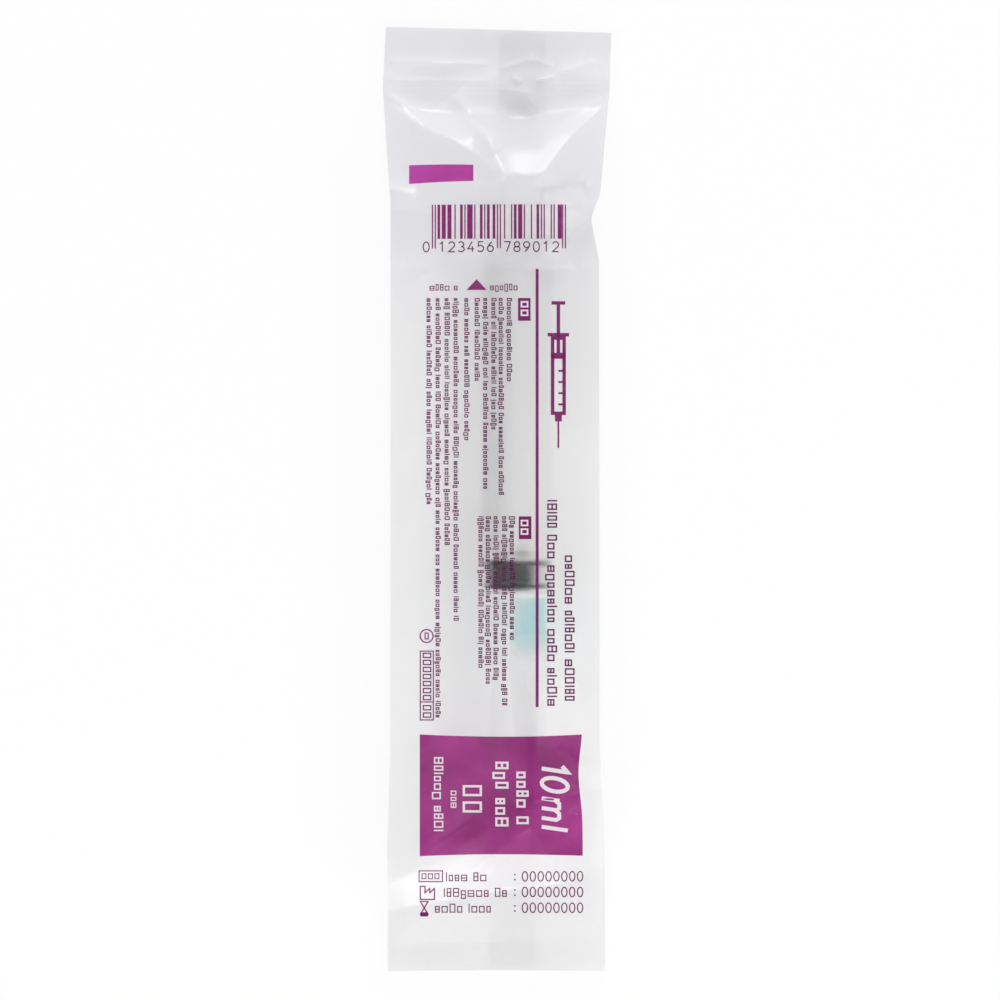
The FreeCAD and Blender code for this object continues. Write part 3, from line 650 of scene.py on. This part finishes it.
dress("barrel", clear_plastic("clear_polypropylene", (0.86, 0.88, 0.89, 1), 0.015, 0.26, 0.14))

# Plunger rod. White moulded polypropylene in one piece: crossed ribs, guide discs and thumb rest. Its
# head is pushed into the stopper, and it slides in the barrel.


def white_plastic():
    """Milky white moulding: light passes through its thin ribs; a faint cloud in its colour and a fine
    grain."""
    made, start = material("white_polypropylene")
    cloud = noise(start, 70.0, 3.0)
    grain = noise(start, 2200.0, 2.0)
    colour = blended(start, cloud, (0.78, 0.78, 0.76, 1), (0.86, 0.86, 0.845, 1))
    bump = bumped(start, 0.1, 0.0001, grain)
    face = coated(start, colour, 0.3 + 0.12 * cloud, Normal=bump)
    through = passing(start, "Translucent", (0.9, 0.9, 0.89, 1))
    straight = passing(start, "Transparent", (0.97, 0.97, 0.965, 1))
    milky = mixed(start, 0.5, face, through)
    finish(start, mixed(start, 0.3 + 0.1 * cloud, milky, straight))
    return made


dress("plunger_rod", white_plastic())

# Stopper. Black synthetic rubber with two sealing ribs, moulded in one piece and lightly oiled. It is
# snapped over the rod's head.


def black_rubber():
    """Black rubber: nearly even colour with a mottled oil film in its gloss and a fine moulded grain."""
    made, start = material("black_rubber")
    mottle = noise(start, 260.0, 4.0)
    place = start.node("ShaderNodeTexCoord", out=3)
    along_it = start.node("ShaderNodeSeparateXYZ", None, {"Vector": place}, out=1)
    waist_y = -0.0176
    from_middle = start.maths("ABSOLUTE", along_it - waist_y)
    waist = (5.4 - 2200.0 * from_middle).held()
    tight = blended(start, mottle, (0.006, 0.006, 0.007, 1), (0.012, 0.012, 0.014, 1))
    colour = blended(start, waist * (0.7 + 0.3 * mottle), tight, (0.052, 0.054, 0.060, 1))
    bump = bumped(start, 0.15, 0.0002, mottle)
    face = coated(start, colour, 0.34 + 0.25 * mottle, Normal=bump)
    finish(start, face)
    return made


dress("stopper", black_rubber())

# Needle hub. Teal moulded polypropylene with grip fins; the colour tells the needle's gauge. It is
# pressed on the nozzle's taper.


def teal_plastic():
    """Teal moulding that lets some light through, so its thin fins look paler than its core."""
    made, start = material("teal_polypropylene")
    cloud = noise(start, 300.0, 2.0)
    colour = blended(start, cloud, (0.20, 0.82, 0.84, 1), (0.26, 0.89, 0.91, 1))
    face = coated(start, colour, 0.25 + 0.1 * cloud)
    through = passing(start, "Translucent", (0.22, 0.9, 0.9, 1))
    finish(start, mixed(start, 0.5, face, through))
    return made


dress("needle_hub", teal_plastic())

# Needle. Drawn stainless tube, ground to a bevel at its tip. A bead of clear adhesive holds it in the
# hub.


def needle_steel():
    """Polished steel tube: fine drawing lines along it in its roughness and height."""
    made, start = material("needle_steel")
    lines = noise(start, 4000.0, 2.0, (1.0, 0.02, 1.0))
    bump = bumped(start, 0.1, 0.00005, lines)
    face = coated(start, (0.66, 0.67, 0.69, 1), 0.16 + 0.14 * lines, Metallic=1.0, Normal=bump)
    finish(start, face)
    return made


dress("cannula", needle_steel())
dress("needle_bond", clear_plastic("clear_adhesive", (0.82, 0.84, 0.82, 1), 0.25, 0.4, 0.08))

# Needle cap. Hazy polyethylene sleeve, tapered and closed at its tip. It is pushed over the hub's
# fins and holds by friction.
dress("needle_cap", clear_plastic("hazy_polyethylene", (0.88, 0.88, 0.89, 1), 0.06, 0.3, 0.2))

# Print. Magenta ink in coats of four strengths lies on the front of the film; the bar's coat is the
# lightest, as a painted highlight for the sheen on the film there. Every mark is a flat shape draped on
# it: fields, bars, rings and hollow placeholder boxes. Marks that are clear in the large field and the
# badges are pale shapes just above the ink.
ink_lift = 0.055
mark_lift = 0.1


def on_film(x, y):
    """Height of the front layer's own mesh at a point: read between the four nearest grid points."""
    rows = rows_along()
    grid = film_sheet[2]
    left, right = sides(y)
    column = np.interp((x - left) / (right - left), shares_across(), np.arange(grid.shape[1]))
    row = np.interp(y, rows, np.arange(len(rows)))
    low_row = np.minimum(row.astype(int), grid.shape[0] - 2)
    low_column = np.minimum(column.astype(int), grid.shape[1] - 2)
    up, over = row - low_row, column - low_column
    lower = grid[low_row, low_column] * (1 - over) + grid[low_row, low_column + 1] * over
    upper = grid[low_row + 1, low_column] * (1 - over) + grid[low_row + 1, low_column + 1] * over
    return lower * (1 - up) + upper * up


def draped(name, shapes, lift):
    """Joins flat shapes, each an array of points and one of faces, and lays them on the front layer."""
    points, faces, count = [], [], 0
    for flat, quads in shapes:
        points.append(flat)
        faces.append(np.asarray(quads) + count)
        count += len(flat)
    flat = np.concatenate(points)
    height = on_film(flat[:, 0], flat[:, 1]) + lift
    placed = np.column_stack([flat[:, 0], flat[:, 1] + end_skew(flat[:, 0], flat[:, 1]), height])
    return mesh_from(name, placed, np.concatenate(faces).tolist())


def field(x_low, x_high, y_low, y_high, cell=0.6, tilt=0.0, bow=0.0):
    """A filled rectangle as a grid of cells; tilt raises its lower edge towards the right and bow lifts
    its ends."""
    columns = max(int(abs(x_high - x_low) / cell), 1) + 1
    rows = max(int(abs(y_high - y_low) / cell), 1) + 1
    x, y = np.meshgrid(np.linspace(x_low, x_high, columns), np.linspace(y_low, y_high, rows))
    middle = (x - (x_low + x_high) / 2) / max(abs(x_high - x_low) / 2, cell)
    y = y + tilt * middle * (y_high - y) / (y_high - y_low) + bow * middle ** 2
    return np.stack([x, y], -1).reshape(-1, 2), grid_faces(rows, columns)


def cut_finer(path, closed, cell=0.6):
    """Adds even points to the long runs of a path."""
    ends = np.roll(path, -1, 0)
    runs = np.linalg.norm(ends - path, axis=1)
    parts = np.maximum(np.ceil(runs / cell).astype(int), 1)
    if not closed:
        parts[-1] = 1
    which = np.repeat(np.arange(len(path)), parts)
    share = (np.arange(parts.sum()) - np.repeat(np.cumsum(parts) - parts, parts)) / parts[which]
    return path[which] + (ends - path)[which] * share[:, None]


def ribbon(points, width, closed=False):
    """A flat band along a path: each corner is widened square to the mean of its two runs."""
    path = cut_finer(np.asarray(points, float), closed)
    after = np.roll(path, -1, 0) - path
    before = path - np.roll(path, 1, 0)
    if not closed:
        after[-1] = before[-1]
        before[0] = after[0]
    after = after / np.linalg.norm(after, axis=1)[:, None]
    before = before / np.linalg.norm(before, axis=1)[:, None]
    mean = after + before
    mean = mean / np.linalg.norm(mean, axis=1)[:, None]
    aside = np.column_stack([-mean[:, 1], mean[:, 0]])
    spread = width / 2 / np.maximum((mean * after).sum(1), 0.4)
    edge = np.concatenate([path - aside * spread[:, None], path + aside * spread[:, None]])
    count = len(path)
    one = np.arange(count if closed else count - 1)
    two = (one + 1) % count
    return edge, np.stack([one, two, two + count, one + count], -1)


def ring(x, y, x_radius, y_radius, width, power=2.0):
    """A closed band round an oval: a superellipse of the given power."""
    turn = np.linspace(0, 2 * math.pi, 33)[:-1]
    across = np.sign(np.cos(turn)) * np.abs(np.cos(turn)) ** (2 / power)
    upward = np.sign(np.sin(turn)) * np.abs(np.sin(turn)) ** (2 / power)
    return ribbon(np.column_stack([x + x_radius * across, y + y_radius * upward]), width, closed=True)


def frame_box(x_low, x_high, y_low, y_high, width):
    """A hollow rectangle drawn with a thin line."""
    half = width / 2
    corners = [(x_low + half, y_low + half), (x_high - half, y_low + half),
               (x_high - half, y_high - half), (x_low + half, y_high - half)]
    return ribbon(corners, width, closed=True)


def placeholder_line(length, height, seed, stroke, wide=0.62, words=(3, 9)):
    """Placeholder shapes for one line of small print, as rectangles (run, run, rise, rise): hollow boxes,
    boxes with a bar across and upright bars of seeded widths, with a gap after each group."""
    draw = np.random.default_rng(seed)
    rectangles = []
    run = 0.0
    while run < length - 0.4 * height:
        for _ in range(draw.integers(*words)):
            width = height * wide * draw.uniform(0.75, 1.2)
            if run + width > length:
                break
            low = -0.22 * height if draw.random() < 0.08 else 0.0
            high = height if draw.random() < 0.3 else 0.74 * height
            if draw.random() < 0.18:
                rectangles.append((run, run + stroke, low, height))
                run += stroke + 0.2 * height
                continue
            rectangles += [(run, run + stroke, low, high), (run + width - stroke, run + width, low, high)]
            bars = [low, high - stroke] + ([(low + high - stroke) / 2] if draw.random() < 0.35 else [])
            rectangles += [(run + stroke, run + width - stroke, bar, bar + stroke) for bar in bars]
            run += width + 0.2 * height
        run += 0.5 * height
    return np.array(rectangles)


def flat_quads(rectangles, cell=0.5):
    """Rectangles (x, x, y, y) as points and faces, the long ones cut into cells along their length."""
    wide = rectangles[:, 1] - rectangles[:, 0]
    tall = rectangles[:, 3] - rectangles[:, 2]
    parts = np.maximum(np.ceil(np.maximum(wide, tall) / cell).astype(int), 1)
    which = np.repeat(np.arange(len(rectangles)), parts)
    place = np.arange(parts.sum()) - np.repeat(np.cumsum(parts) - parts, parts)
    low, high = place / parts[which], (place + 1) / parts[which]
    lying = (wide >= tall)[which]
    rectangles = rectangles[which]
    x_low, y_low = rectangles[:, 0], rectangles[:, 2]
    wide, tall = wide[which], tall[which]
    rectangles = np.column_stack([
        x_low + wide * np.where(lying, low, 0), x_low + wide * np.where(lying, high, 1),
        y_low + tall * np.where(lying, 0, low), y_low + tall * np.where(lying, 1, high)])
    x = rectangles[:, [0, 1, 1, 0]]
    y = rectangles[:, [2, 2, 3, 3]]
    return np.stack([x, y], -1).reshape(-1, 2), np.arange(4 * len(rectangles)).reshape(-1, 4)


def down_the_film(rectangles, x_base, y_start):
    """Turns a line so that it runs towards the foot, with its top to the right."""
    return flat_quads(np.column_stack([
        x_base + rectangles[:, 2], x_base + rectangles[:, 3],
        y_start - rectangles[:, 1], y_start - rectangles[:, 0]]))


def across_the_film(rectangles, x_start, y_base):
    """Lays a line that runs to the right."""
    return flat_quads(rectangles + np.array([x_start, x_start, y_base, y_base]))


def arc(x, y, x_radius, y_radius, start, end):
    """Points along part of an oval, from one angle to another in degrees."""
    turn = np.radians(np.linspace(start, end, max(int(abs(end - start) / 18), 2)))
    return list(zip(x + x_radius * np.cos(turn), y + y_radius * np.sin(turn)))


def numeral(digit):
    """The strokes of one plain numeral in a box one wide and one high."""
    return [
        [arc(0.5, 0.5, 0.5, 0.5, 0, 360)],
        [[(0.15, 0.78), (0.55, 1.0), (0.55, 0.0)]],
        [arc(0.5, 0.7, 0.48, 0.3, 165, -40) + [(0.0, 0.0), (1.0, 0.0)]],
        [arc(0.45, 0.75, 0.43, 0.25, 150, -90), arc(0.45, 0.26, 0.53, 0.26, 90, -150)],
        [[(0.66, 1.0), (0.0, 0.28), (1.0, 0.28)], [(0.74, 0.55), (0.74, 0.0)]],
        [[(0.92, 1.0), (0.15, 1.0), (0.1, 0.56)] + arc(0.45, 0.32, 0.53, 0.32, 130, -145)],
        [[(0.78, 1.0), (0.3, 0.7)] + arc(0.5, 0.3, 0.5, 0.3, 150, 510)],
        [[(0.0, 1.0), (1.0, 1.0), (0.38, 0.0)]],
        [arc(0.5, 0.74, 0.42, 0.26, 0, 360), arc(0.5, 0.26, 0.5, 0.26, 0, 360)],
        [[(0.22, 0.0), (0.7, 0.3)] + arc(0.5, 0.7, 0.5, 0.3, -30, 330)],
    ][digit]


def numeral_row(digits, pitch, width, height, stroke, place):
    """A row of numerals as ribbons; place turns points of the row (run, rise) into places on the film."""
    shapes = []
    for order, digit in enumerate(digits):
        for points in numeral(digit):
            points = np.array(points) * [width, height] + [order * pitch, 0]
            shapes.append(ribbon(place(points), stroke))
    return shapes


def bar_pattern(x_low, x_high, y_high, y_low, y_guard):
    """Upright bars of one to three modules with seeded widths, between longer guard bars."""
    draw = np.random.default_rng(23)
    module = (x_high - x_low) / 95
    guards = [0, 2, 46, 48, 92, 94]
    bars = [(place, 1, y_guard) for place in guards]
    for first in (3, 50):
        for digit in range(6):
            cuts = np.sort(draw.choice(np.arange(1, 7), 3, replace=False))
            bars += [(first + 7 * digit + cuts[0], cuts[1] - cuts[0], y_low),
                     (first + 7 * digit + cuts[2], 7 - cuts[2], y_low)]
    return flat_quads(cell=0.3, rectangles=np.array([
        (x_low + module * place + 0.02, x_low + module * (place + width) - 0.02, end, y_high)
        for place, width, end in bars]))


small, medium = 1.2, 2.3
first_starts = 46.8
second_starts = -4.0
first_lines = [(2.3, 19.4), (0.4, 46.6), (-1.3, 30.9), (-3.2, 44.9), (-5.2, 20.1), (-7.6, 33.7),
               (-10.1, 75.3), (-12.2, 57.8), (-14.3, 98.0), (-16.4, 49.1)]
second_lines = [(3.0, 29.5), (1.2, 44.2), (-0.8, 38.1), (-2.6, 39.8), (-4.3, 35.3)]


def small_print():
    """All the lines of small print down and across the film."""
    shapes = []
    for y_start, lines, seed in ((first_starts, first_lines, 100), (second_starts, second_lines, 200)):
        for order, (x_base, length) in enumerate(lines):
            line = placeholder_line(length, small, seed + order, 0.23)
            shapes.append(down_the_film(line, x_base, y_start))
    for x_base, y_start, length in ((11.7, -0.2, 48.0), (15.8, -13.1, 34.6)):
        line = placeholder_line(length, medium, int(300 + x_base), 0.34, 0.6)
        shapes.append(down_the_film(line, x_base, y_start))
    for x_start, length in ((-15.7, 7.5), (-1.6, 7.5)):
        line = placeholder_line(length, 1.5, int(400 + x_start), 0.2)
        shapes.append(across_the_film(line, x_start, 48.6))
    for y_base, x_start, length in ((-89.2, -11.9, 10.0), (-92.9, -12.4, 15.7), (-96.6, -14.5, 13.6)):
        line = placeholder_line(length, 2.1, int(600 + y_base), 0.24)
        shapes.append(across_the_film(line, x_start, y_base))
        shapes += numeral_row([0] * 8, 1.84, 1.25, 2.25, 0.26, lambda points: points + [5.9, y_base])
        shapes += [field(4.0, 4.35, y_base + rise, y_base + rise + 0.35) for rise in (0.2, 1.4)]
    for digits, x_start in (([0], -17.2), (range(1, 7), -13.5), ((7, 8, 9, 0, 1, 2), 1.7)):
        shapes += numeral_row(digits, 2.25, 1.4, 2.3, 0.26, lambda points: points + [x_start, 57.6])
    for top in [-35.8 - 1.64 * order for order in range(7)] + [-48.0, -49.7]:
        shapes.append(frame_box(-17.3, -15.3, top - 1.25, top, 0.27))
    for low in (-17.6, -16.1, -14.6):
        shapes.append(frame_box(low, low + 1.15, -88.7, -87.3, 0.22))
    return shapes


def large_field():
    """The large field: a rectangle whose corners are drawn out and whose right edge is drawn in by the
    film's folds."""
    low, high = -82.8, -55.3
    points, quads = field(-18.0, 20.0, low, high, cell=0.3)
    aside = (points[:, 0] - 1.0) / 19.0
    share = (points[:, 1] - low) / (high - low)
    points[:, 1] += 0.45 * aside ** 2 * (2 * share - 1)
    points[:, 0] -= np.clip(aside, 0, 1) ** 3 * bell(share - 0.68, 0.26)
    return points, quads


def bold_marks():
    """The long rule, the bars of the code, the badges, the plain symbols and the pictogram."""
    shapes = [
        field(9.0, 9.7, -48.4, 53.6),
        field(4.9, 7.8, 41.5, 46.8),
        field(5.1, 8.0, -9.3, -4.0),
        ring(-16.4, -31.9, 1.5, 1.5, 0.3),
        frame_box(-16.9, -15.9, -32.7, -31.1, 0.26),
        frame_box(-18.0, -14.7, -51.6, -35.3, 0.26),
        field(-18.0, -14.7, -47.4, -47.15),
        frame_box(-18.3, -12.6, -89.4, -86.6, 0.26),
        ribbon([(-17.9, -90.4), (-17.9, -93.5), (-14.6, -93.5), (-14.6, -90.9), (-15.7, -91.9),
                (-15.7, -90.9), (-16.8, -91.9), (-16.8, -90.4)], 0.3, closed=True),
        ribbon([(-17.9, -94.0), (-16.1, -94.0), (-17.0, -95.5)], 0.28, closed=True),
        ribbon([(-17.0, -95.5), (-16.1, -97.0), (-17.9, -97.0)], 0.28, closed=True),
        field(-17.9, -16.1, -97.5, -96.5),
        bar_pattern(-15.2, 16.1, 68.6, 60.6, 58.4),
        (np.array([(-7.1, 48.7), (-2.4, 48.7), (-4.74, 51.2), (-4.76, 51.2)]), [[0, 1, 2, 3]]),
    ]
    return shapes + pictogram(14.3, 46.1)


def pictogram(middle, top):
    """A plain line drawing of a syringe that points to the foot: press, rod, flange, barrel with its
    stopper and three ticks, tip and needle."""
    line = 0.8
    bars = [(1.6, line, 0.0), (line / 2, 12.0, line), (2.5, 7.4 + line, 7.4), (1.75, 13.4, 12.0),
            (0.8, 28.0, 26.5), (0.2, 34.2, 28.0)]
    shapes = [field(middle - half, middle + half, top - low, top - high) for half, low, high in bars]
    shapes.append(frame_box(middle - 1.75, middle + 1.75, top - 26.5, top - 8.2, line))
    for tick in (16.0, 18.6, 21.2, 23.8):
        shapes.append(field(middle, middle + 1.4, top - tick - 0.45, top - tick))
    return shapes


def clear_marks():
    """Clear marks in the magenta fields: a plain 10ml and placeholder boxes."""
    def aslant(points):
        """Turns a row so that it runs towards the foot, leaning a little."""
        return np.column_stack([10.4 + points[:, 1], -61.0 - points[:, 0] - 0.16 * points[:, 1]])

    rise = 6.1
    unit = [[(8.6, 0.0), (8.6, 4.2)],
            [(8.6, 3.0), (9.3, 4.1), (10.4, 4.1), (10.9, 3.4), (10.9, 0.0)],
            [(10.9, 3.0), (11.6, 4.1), (12.7, 4.1), (13.2, 3.4), (13.2, 0.0)],
            [(15.3, 0.0), (15.3, rise)]]
    shapes = numeral_row([1, 0], 3.5, 3.1, rise, 0.95, aslant)
    shapes += [ribbon(aslant(np.array(points)), 0.9) for points in unit]
    shapes += [
        down_the_film(placeholder_line(12.9, 2.9, 801, 0.5, 0.62, (4, 6)), 4.5, -63.4),
        down_the_film(placeholder_line(17.1, 3.1, 802, 0.5, 0.62, (3, 5)), -0.4, -61.1),
        frame_box(-8.0, -3.5, -69.2, -66.6, 0.55),
        frame_box(-8.0, -3.5, -73.0, -70.4, 0.55),
        down_the_film(placeholder_line(4.4, 1.8, 803, 0.24, 0.62, (4, 5)), -10.8, -67.9),
        down_the_film(placeholder_line(18.3, 2.2, 804, 0.34, 0.66, (3, 11)), -14.7, -60.1),
    ]
    for top in (46.1, 44.1, -4.8, -6.8):
        shapes.append(frame_box(5.5, 7.3, top - 1.5, top, 0.38))
    return shapes


def ink(name, dark, light, stain, share):
    """Printing ink on film: a share of the light is only stained on its way to the film and back, more
    where the coat is thin; the rest meets a mottled satin face."""
    made, start = material(name)
    mottle = noise(start, 75.0, 5.0)
    facing = edge_on(start)
    colour = blended(start, (2.2 * mottle - 0.6).held(), dark, light)
    face = coated(start, colour, 0.28 + 0.1 * mottle, **{"Specular IOR Level": 0.32})
    straight = passing(start, "Transparent", stain)
    stained = (share + 0.1 * (mottle - 0.5) + 0.5 * facing ** 4).held()
    finish(start, mixed(start, stained, face, straight))
    return made


# The bar's ink is lighter than the other magenta coats: a painted highlight for the sheen on the film
# there.
bar = field(-20.5, -5.5, 73.9, 78.0, tilt=0.3, bow=-0.12)
for name, shapes, lift, coat, dark, light, stain, share in (
        ("print_bar", [bar], ink_lift, "magenta_ink_painted_highlight",
         (0.40, 0.032, 0.29, 1), (0.55, 0.075, 0.42, 1), (0.75, 0.185, 0.61, 1), 0.6),
        ("print_field", [large_field()], ink_lift, "magenta_ink",
         (0.20, 0.004, 0.125, 1), (0.52, 0.055, 0.37, 1), (0.56, 0.15, 0.40, 1), 0.5),
        ("print_marks", bold_marks(), ink_lift, "mark_magenta_ink",
         (0.18, 0.009, 0.118, 1), (0.29, 0.020, 0.19, 1), (0.50, 0.11, 0.37, 1), 0.5),
        ("print_lines", small_print(), ink_lift, "fine_magenta_ink",
         (0.13, 0.008, 0.083, 1), (0.18, 0.014, 0.115, 1), (0.34, 0.075, 0.25, 1), 0.5),
        ("print_gaps", clear_marks(), mark_lift, "clear_print_gap",
         (0.78, 0.70, 0.76, 1), (0.86, 0.80, 0.85, 1), (0.95, 0.85, 0.93, 1), 0.1)):
    printed = draped(name, shapes, lift)
    printed.data.materials.append(ink(coat, dark, light, stain, share))
    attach(printed, "pack")

# Table and light. The pouch lies on a plain white table in an even white room. Two soft lamps at its
# sides, a strong low one beyond its head and a weak near one at its foot draw out its folds.


def table_material():
    """White table that keeps shadows: part lit paint, part plain white for the camera, gloss and film."""
    made, start = material("white_table")
    seen = start.node("ShaderNodeLightPath", out=0)
    mirrored = start.node("ShaderNodeLightPath", out=3)
    passed = start.node("ShaderNodeLightPath", out=6)
    direct = (seen + mirrored + passed).held()
    facing = edge_on(start)
    paint = start.node("ShaderNodeBsdfDiffuse", None, {"Color": (0.94, 0.94, 0.94, 1)})
    white = start.node("ShaderNodeEmission", None, {"Color": (1, 1, 1, 1), "Strength": 1.0})
    finish(start, mixed(start, direct * (0.88 + 0.12 * facing ** 6), paint, white))
    return made


table_half = 4000.0
table = mesh_from("table_top", [(-table_half, -table_half, 0), (table_half, -table_half, 0),
                                (table_half, table_half, 0), (-table_half, table_half, 0)], [(0, 1, 2, 3)])
table.data.materials.append(table_material())

world = bpy.data.worlds.new("white_room")
world.use_nodes = True
world.node_tree.nodes.clear()
sky = Wire(world.node_tree)
seen = (sky.node("ShaderNodeLightPath", out=0) + sky.node("ShaderNodeLightPath", out=6)).held()
glow = sky.node("ShaderNodeBackground", None, {"Color": (1, 1, 1, 1), "Strength": 0.64 + 0.36 * seen})
sky.node("ShaderNodeOutputWorld", None, {"Surface": glow})
scene.world = world


def lamp(name, place, size, power):
    """A square area lamp that faces the pouch's middle."""
    light = bpy.data.lights.new(name, "AREA")
    light.shape = "SQUARE"
    light.size = size
    light.energy = power
    made = bpy.data.objects.new(name, light)
    made.location = place
    made.rotation_mode = "QUATERNION"
    made.rotation_quaternion = made.location.to_track_quat("Z", "Y")
    scene.collection.objects.link(made)


lamp("left_lamp", (-1.3, -0.3, 1.6), 0.7, 5.5)
lamp("right_lamp", (1.7, -0.6, 1.1), 0.8, 9.0)
lamp("head_lamp", (0.1, 1.95, 0.46), 0.6, 18.0)
lamp("foot_lamp", (0.1, -0.9, 0.36), 0.3, 2.3)

# Camera. A long lens looks straight down, head end up, on a field 234 mm across at the height of the
# pouch's side folds.
view_width = 0.2332
height = 4.0
camera_data = bpy.data.cameras.new("overhead_camera")
camera_data.sensor_width = 36.0
camera_data.lens = camera_data.sensor_width * (height - axis_z * MM) / view_width
camera = bpy.data.objects.new("overhead_camera", camera_data)
camera.location = (0.0007, -0.0002, height)
scene.collection.objects.link(camera)
scene.camera = camera

scene.view_settings.view_transform = "Standard"
